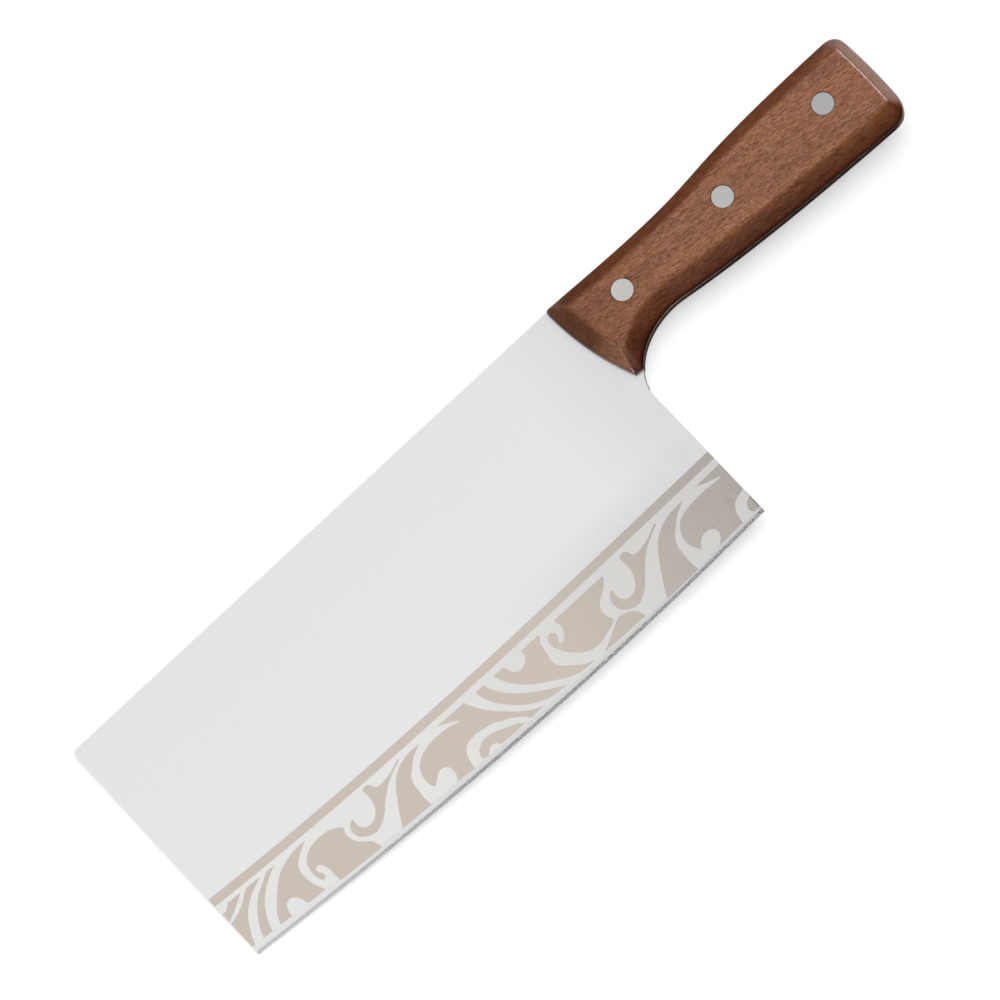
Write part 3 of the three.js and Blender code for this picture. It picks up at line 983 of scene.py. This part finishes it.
def edge_steel():
    """The honed bevel: grey with fine bright specks, and paler near the front as a painted reflection.
    """
    finish = Finish("edge_bevel", 1, 0.35)
    # Painted reflection: the bevel is dark along most of the blade and pale near the front
    front = finish.ranged(finish.along("X"), *(FRONT_X + part for part in PAINTED_BEVEL_REFLECTION), 1, 0)
    specks = finish.ranged(finish.noise(BEVEL_SPECKS, 1), 0.43, 0.6)
    ground = finish.blended(front, srgb("707172"), srgb("B2B3B3"))
    finish.colour(finish.blended(finish.times(specks, 0.7), ground, srgb("DADADA")))
    return finish.material


def painted_dark_tang_rim():
    """Rim of the tang between the scales: steel painted dark, a painted reflection of dark surroundings.
    """
    finish = Finish("painted_dark_tang_rim", 0.6, 0.5)
    finish.colour(srgb("453F3C"))
    return finish.material


def broken_corner():
    """The broken corners of the steel sheet: duller than its faces, and paler as a painted highlight."""
    finish = Finish("broken_corner", 1, 0.65)
    finish.colour(srgb("F6F6F6"))
    return finish.material


def scale_wood():
    """Reddish brown open-pored hardwood under a semi-gloss lacquer. The grain runs along the handle."""
    finish = Finish("lacquered_wood", 0, 0.3)
    streaks = finish.ranged(finish.noise(STREAKS, 3, GRAIN_TURN, 0.3), 0.3, 0.7)
    fibres = finish.ranged(finish.noise(FIBRES, 2, GRAIN_TURN), 0.35, 0.68)
    pores = finish.ranged(finish.noise(PORES, 1, GRAIN_TURN), 0.53, 0.66)
    colour = finish.blended(streaks, srgb("623016"), srgb("844E29"))
    colour = finish.blended(finish.times(fibres, 0.38), colour, srgb("B98C72"))
    colour = finish.blended(finish.times(pores, 0.65), colour, srgb("2A0F04"))

    # Painted shade on the facets
    height = finish.away(finish.along("Z"), STEEL_Z)
    rim = finish.ranged(height, (SEAT + LAND_HEIGHT) * MM, HANDLE_HALF * MM, 1, 0)
    belly = finish.ranged(finish.facing("Y"), -0.6, -0.3, 1, 0)
    spine = finish.ranged(finish.facing("Y"), 0.3, 0.6)
    facet = finish.ranged(finish.away(finish.facing("Z"), 0), 0.72, 0.97, 1, 0)
    colour = finish.tinted(facet, colour, FACET_PAINTED_SHADE)
    colour = finish.tinted(finish.times(belly, rim), colour, RIM_PAINTED_SHADE)
    colour = finish.tinted(spine, colour, SPINE_PAINTED_SHADE)
    corner = finish.times(belly, finish.ranged(finish.facing("X"), 0.15, 0.4))
    colour = finish.tinted(corner, colour, CORNER_PAINTED_SHADE)

    # Front of the handle: painted shade, and a painted sheen at the toe
    start = finish.ranged(finish.along("X"), HANDLE_X, HANDLE_X + FRONT_SHADE, 1, 0)
    colour = finish.tinted(start, colour, FRONT_PAINTED_SHADE)
    front = finish.ranged(finish.facing("X"), -0.6, -0.35, 1, 0)
    toe = finish.ranged(finish.along("Y"), *(TOE_Y + part for part in TOE_SHADE), 1, 0)
    finish.colour(finish.tinted(finish.times(front, toe), colour, TOE_PAINTED_SHEEN))
    finish.surface.inputs["Specular IOR Level"].default_value = 0.25
    finish.relief(pores, -PORE_DEPTH)
    return finish.material


def rivet_steel():
    """Satin rivet heads, greyer towards the butt."""
    finish = Finish("rivet_satin", 1, 0.36)
    butt = finish.ranged(finish.along("X"), HANDLE_X + RIVET_SHADE, BUTT_X - RIVET_SHADE)
    finish.colour(finish.blended(butt, srgb("C3C1BB"), srgb("ABACAD")))
    return finish.material


def joined(piece, node):
    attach(piece, "root")
    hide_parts(node)


BLADE_LOOKS = [
    flat_steel(),
    ground_steel(),
    etched_steel(),
    edge_strip(),
    edge_steel(),
    painted_dark_tang_rim(),
    broken_corner(),
]
blade = build_blade(BLADE_LOOKS)
joined(blade, "blade")

SCALE_SHARP = 55  # the mitres of the facets are sanded soft
wood = scale_wood()
front_scale = scale_mesh()
scales = []
for side, shape in (("front", front_scale), ("rear", flipped(*front_scale))):
    piece = mesh_piece(f"{side}_scale_wood", *shape, materials=[wood], sharp=SCALE_SHARP)
    joined(piece, f"{side}_scale")
    scales.append(piece)

rivet_look = rivet_steel()
for number, rivet_x in enumerate(RIVET_X, 1):
    halves = {"post": turned(rivet_x, POST_PROFILE), "tube": flipped(*turned(rivet_x, TUBE_PROFILE))}
    for half, shape in halves.items():
        node = f"rivet_{number}_{half}"
        joined(mesh_piece(f"{node}_turned", *shape, materials=[rivet_look]), node)

# Floor
# The blade outweighs the handle, so the knife leans on its front end: the floor slopes to meet it.
FLOOR_HEIGHT = 0.00196  # under the origin of the frame
FLOOR_FALL = (0.037, 0.0081)  # fall towards the butt and towards the spine
FLOOR_REACH = 4
FLOOR_GLOW = 0.5  # half of the floor's white does not depend on the light, so that the shadow stays pale
FLOOR_BOUNCE = 0.25  # the floor throws little light back up on to the knife
CARD_LIFT = 0.0002

# Cards on the floor, beside the handle and behind the butt: two corners and the level of each
FLOOR_CARDS = {
    "handle_card": ((HEEL_X, -0.4), (BUTT_X, 0.15), 0),
    "corner_card": ((BUTT_X, -0.4), (BUTT_X + 0.4, BELLY_Y), 0),
    "butt_floor_card": ((BUTT_X, BELLY_Y), (BUTT_X + 0.06, 0.06), 1.8),
}


def floor_sheet(name, low, high, lift):
    """A rectangle that lies along the floor."""
    corners = [low, (high[0], low[1]), high, (low[0], high[1])]
    points = [(x, y, FLOOR_HEIGHT + lift - x * FLOOR_FALL[0] - y * FLOOR_FALL[1]) for x, y in corners]
    mesh = bpy.data.meshes.new(name)
    mesh.from_pydata(points, [], [(0, 1, 2, 3)])
    sheet = bpy.data.objects.new(name, mesh)
    bpy.context.scene.collection.objects.link(sheet)
    return sheet


def build_floor():
    floor = floor_sheet("floor", (-FLOOR_REACH, -FLOOR_REACH), (FLOOR_REACH, FLOOR_REACH), 0)
    finish = Finish("floor_white", 0, 1)
    path = finish.tree.nodes.new("ShaderNodeLightPath").outputs
    seen = path["Is Camera Ray"]
    for ray in ("Is Glossy Ray", "Is Transmission Ray"):
        node = finish.tree.nodes.new("ShaderNodeMath")
        finish.feed(node.inputs[0], seen)
        finish.feed(node.inputs[1], path[ray])
        seen = node.outputs["Value"]
    finish.colour(finish.blended(seen, grey(FLOOR_BOUNCE), grey(1 - FLOOR_GLOW)))
    finish.surface.inputs["Specular IOR Level"].default_value = 0
    finish.surface.inputs["Emission Color"].default_value = grey(1)
    finish.feed(finish.surface.inputs["Emission Strength"], finish.times(seen, FLOOR_GLOW))
    floor.data.materials.append(finish.material)


def floor_card(name, low, high, level):
    """A card on the floor that only shows in shiny surfaces: black at level 0, white at level 1."""
    card = floor_sheet(name, low, high, CARD_LIFT)
    card.visible_camera = False
    card.visible_diffuse = False
    card.visible_shadow = False
    finish = Finish(name, 0, 1)
    finish.colour(grey(0))
    finish.surface.inputs["Specular IOR Level"].default_value = 0
    finish.surface.inputs["Emission Color"].default_value = grey(1)
    finish.surface.inputs["Emission Strength"].default_value = level
    card.data.materials.append(finish.material)


# Camera: above the knife, leaning towards the edge, and turned so that the knife lies across the picture
VIEW_TILT = math.radians(15)
VIEW_TURN = math.radians(42.88)
VIEW_DISTANCE = 1.6
VIEW_WIDTH = 0.3147
VIEW_CENTRE = placed(153.65, -34.8, 1)
SENSOR = 36


def build_camera():
    along = Vector((1, 0, 0))
    down = Vector((0, -math.cos(VIEW_TILT), -math.sin(VIEW_TILT)))
    right = math.cos(VIEW_TURN) * along + math.sin(VIEW_TURN) * down
    up = math.sin(VIEW_TURN) * along - math.cos(VIEW_TURN) * down
    back = right.cross(up)
    data = bpy.data.cameras.new("camera")
    data.sensor_width = SENSOR
    data.lens = SENSOR * VIEW_DISTANCE / VIEW_WIDTH
    camera = bpy.data.objects.new("camera", data)
    turn = Matrix((right, up, back)).transposed().to_4x4()
    camera.matrix_world = Matrix.Translation(VIEW_CENTRE + back * VIEW_DISTANCE) @ turn
    bpy.context.scene.collection.objects.link(camera)
    bpy.context.scene.camera = camera


# Lights
ROOM_LEVEL = 0.12  # light from all sides
WALL_LEVEL = 0.15  # what shiny surfaces mirror near the horizon
CEILING_LEVEL = 1.04  # and overhead
WALL_TOP = 0.1  # sine of the elevation where the dim walls end
CEILING_EDGE = 0.6  # and where the full ceiling starts
KEY_PLACE = (0.29, 0.05, 1)
KEY_SPREAD = math.radians(60)
KEY_LEVEL = 3.3

# Small lamps that make the lacquer glint, on the mitre at the toe and at the butt: place, size and level
GLINTS = {
    "mitre_card": ((-0.7, -0.87, 0.2), 0.3, 80),
    "butt_card": ((1.3, 0.4, 0.65), 0.7, 25),
}


def build_room():
    """A dim room with a bright ceiling for shiny surfaces, and plain white for the camera."""
    world = bpy.data.worlds.new("studio")
    bpy.context.scene.world = world
    world.use_nodes = True
    tree = world.node_tree

    def choice(share, first, second):
        node = tree.nodes.new("ShaderNodeMix")
        tree.links.new(share, node.inputs["Factor"])
        for socket, value in (("A", first), ("B", second)):
            if isinstance(value, bpy.types.NodeSocket):
                tree.links.new(value, node.inputs[socket])
            else:
                node.inputs[socket].default_value = value
        return node.outputs["Result"]

    direction = tree.nodes.new("ShaderNodeTexCoord")
    split = tree.nodes.new("ShaderNodeSeparateXYZ")
    tree.links.new(direction.outputs["Generated"], split.inputs["Vector"])
    height = tree.nodes.new("ShaderNodeMapRange")
    height.interpolation_type = "SMOOTHSTEP"
    for name, number in (
        ("From Min", WALL_TOP), ("From Max", CEILING_EDGE),
        ("To Min", WALL_LEVEL), ("To Max", CEILING_LEVEL),
    ):
        height.inputs[name].default_value = number
    tree.links.new(split.outputs["Z"], height.inputs["Value"])
    path = tree.nodes.new("ShaderNodeLightPath").outputs
    mirrored = choice(path["Is Glossy Ray"], ROOM_LEVEL, height.outputs["Result"])
    background = tree.nodes["Background"]
    background.inputs["Color"].default_value = grey(1)
    tree.links.new(choice(path["Is Camera Ray"], mirrored, 1), background.inputs["Strength"])


def build_key():
    """A broad soft light from overhead, a little behind the spine and the butt. Nothing mirrors it."""
    data = bpy.data.lights.new("key", "SUN")
    data.energy = KEY_LEVEL
    data.angle = KEY_SPREAD
    light = bpy.data.objects.new("key", data)
    light.rotation_euler = (-Vector(KEY_PLACE)).to_track_quat("-Z", "Y").to_euler()
    light.visible_glossy = False
    bpy.context.scene.collection.objects.link(light)


def bright_card(name, place, size, level, pieces):
    """A small lamp that only shows as a glint, and only on some pieces."""
    data = bpy.data.lights.new(name, "AREA")
    data.size = size
    data.energy = level * math.pi * size * size
    light = bpy.data.objects.new(name, data)
    light.location = place
    light.rotation_euler = (-Vector(place)).to_track_quat("-Z", "Y").to_euler()
    light.visible_camera = False
    light.visible_diffuse = False
    light.light_linking.receiver_collection = bpy.data.collections.new(name)
    for piece in pieces:
        light.light_linking.receiver_collection.objects.link(piece)
    bpy.context.scene.collection.objects.link(light)


build_floor()
for name, (low, high, level) in FLOOR_CARDS.items():
    floor_card(name, low, high, level)
build_camera()
build_room()
build_key()
for name, (place, size, level) in GLINTS.items():
    bright_card(name, place, size, level, scales)
bpy.context.scene.view_settings.view_transform = "Standard"
